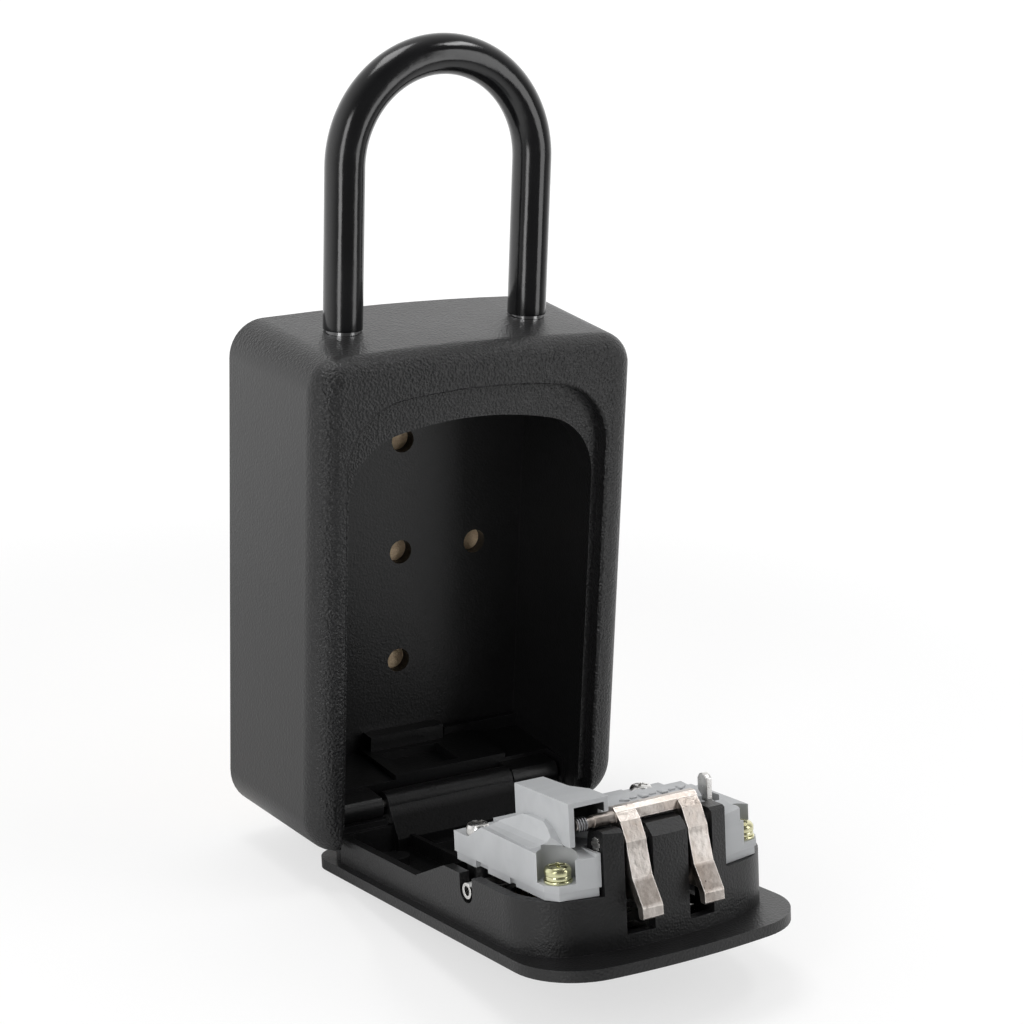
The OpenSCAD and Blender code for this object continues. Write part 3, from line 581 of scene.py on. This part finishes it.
# index arrows beside the number windows on the outer face, pointing inwards
INDEX_X, INDEX_V = 18.5, -1.9
for i, side in enumerate((-1, 1)):
    add_mark("index_arrow_%d" % (i + 1), arrow(tail=1.0, tip=1.1, half_width=1.3, side=-side),
             (side * INDEX_X, INDEX_V, WHEEL_Z), out=-1, height=0.35, slot="black_casting")


# ---------------------------------------------------------------- floor
FLOOR_GAP = 0.0002


def floor_paper(name):
    """White sheet, lifted for the camera, that fades into the backdrop away from the object."""
    t = Shader(name)
    colour = t.mix(t.noise(scale=6), (0.93, 0.93, 0.93), (0.95, 0.95, 0.95))
    rough = t.ramp(t.noise(scale=900), over=(0.3, 0.7), to=(0.75, 0.85))
    normal = t.bump(t.noise(scale=1500), strength=0.2, distance=0.00005)
    t.done(colour, rough, normal, specular=0.2)
    distance = t.new("ShaderNodeVectorMath", operation="LENGTH")
    t.link(t.mapped(scale=(1, 1, 0)), distance.inputs[0])
    fade = t.ramp(distance.outputs["Value"], over=(0.16, 0.42), to=(1.0, 0.0), smooth=True)
    clear = t.new("ShaderNodeBsdfTransparent")
    glow = t.new("ShaderNodeEmission")
    glow.inputs["Strength"].default_value = 1.04
    glow_share = 0.62  # part of the camera's view taken by the glow
    seen = t.times(t.new("ShaderNodeLightPath").outputs["Is Camera Ray"], glow_share)
    lifted = t.mix_shaders(seen, t.bsdf.outputs[0], glow.outputs[0])
    faded = t.mix_shaders(fade, clear.outputs[0], lifted)
    t.link(faded, next(n for n in t.tree.nodes if n.type == "OUTPUT_MATERIAL").inputs[0])
    return t.material


def add_floor():
    bm = bmesh.new()
    bmesh.ops.create_grid(bm, x_segments=8, y_segments=8, size=6.0)
    mesh = bpy.data.meshes.new("floor")
    bm.to_mesh(mesh)
    bm.free()
    floor = bpy.data.objects.new("floor", mesh)
    floor.location = (0, 0, cad_lo.z - FLOOR_GAP)
    scene.collection.objects.link(floor)
    mesh.materials.append(floor_paper("floor_paper"))


add_floor()


# ---------------------------------------------------------------- world
def background(w, strength):
    node = w.new("ShaderNodeBackground")
    w.put(node.inputs["Color"], (1.0, 1.0, 1.0))
    w.put(node.inputs["Strength"], strength)
    return node.outputs[0]


def add_world():
    """White to the camera; as light, bright behind and dimmer in front and overhead."""
    world = bpy.data.worlds.new("studio")
    scene.world = world
    world.use_nodes = True
    w = Nodes(world.node_tree)
    w.tree.nodes.clear()
    output = w.new("ShaderNodeOutputWorld")
    direction = w.new("ShaderNodeSeparateXYZ")
    w.link(w.new("ShaderNodeTexCoord").outputs["Generated"], direction.inputs[0])
    behind = w.ramp(direction.outputs["Y"], over=(-0.7, 0.6), to=(0.14, 1.3), smooth=True)
    overhead = w.ramp(direction.outputs["Z"], over=(0.2, 0.9), to=(1.0, 0.6), smooth=True)
    lighting = background(w, strength=w.times(behind, overhead))
    backdrop = background(w, strength=1.1)
    seen = w.new("ShaderNodeLightPath").outputs["Is Camera Ray"]
    w.link(w.mix_shaders(seen, lighting, backdrop), output.inputs[0])


add_world()


# ---------------------------------------------------------------- lights
def softbox(name, place, target, size, power):
    """Rectangular light aimed at target and hidden from the camera."""
    light = bpy.data.lights.new(name, "AREA")
    light.shape = "RECTANGLE"
    light.size, light.size_y = size
    light.energy = power
    lamp = bpy.data.objects.new(name, light)
    lamp.location = place
    lamp.rotation_mode = "QUATERNION"
    lamp.rotation_quaternion = (Vector(target) - Vector(place)).to_track_quat("-Z", "Y")
    scene.collection.objects.link(lamp)
    lamp.visible_camera = False


def strip(name, azimuth, width, bottom, radiance, top=0.30, distance=0.42, centre_y=-0.02):
    """Upright light; azimuth in degrees from the front (-Y) towards +X."""
    angle = math.radians(azimuth)
    middle, height = (bottom + top) / 2, top - bottom
    place = (math.sin(angle) * distance, -math.cos(angle) * distance + centre_y, middle)
    softbox(name, place, target=(0, centre_y, middle), size=(width, height),
            power=radiance * math.pi * width * height)


strip("strip_left", azimuth=-53, width=0.12, bottom=-0.057, radiance=4.5)
strip("strip_right", azimuth=38, width=0.17, bottom=-0.064, radiance=2.6)
softbox("top", place=(-0.12, 0.05, 0.75), target=(0, -0.04, 0), size=(0.35, 0.3), power=1.6)
softbox("brow", place=(0.30, -0.20, 0.52), target=(0, -0.04, 0.05), size=(0.22, 0.10),
        power=0.55)


# ---------------------------------------------------------------- camera
def add_camera(target, distance, azimuth, elevation, roll):
    """Orbit camera; angles in degrees, azimuth from the front (-Y) towards +X."""
    camera = bpy.data.cameras.new("camera")
    camera.lens = 78.86
    camera.sensor_width = 36
    camera.clip_start, camera.clip_end = 0.02, 50
    rig = bpy.data.objects.new("camera", camera)
    scene.collection.objects.link(rig)
    scene.camera = rig
    az, el, roll = (math.radians(a) for a in (azimuth, elevation, roll))
    level = Vector((math.cos(az), math.sin(az), 0))
    back = Vector((math.sin(az) * math.cos(el), -math.cos(az) * math.cos(el), math.sin(el)))
    rise = Vector((-math.sin(el) * math.sin(az), math.sin(el) * math.cos(az), math.cos(el)))
    right = level * math.cos(roll) + rise * math.sin(roll)
    up = -level * math.sin(roll) + rise * math.cos(roll)
    place = Vector(target) + back * distance
    rig.matrix_world = Matrix((*zip(right, up, back, place), (0, 0, 0, 1)))


add_camera(target=(0.00853, -ORIGIN_Y, 0.01913), distance=0.5206, azimuth=-32.163,
           elevation=16.357, roll=1.968)

scene.view_settings.view_transform = "Standard"
scene.view_settings.look = "None"
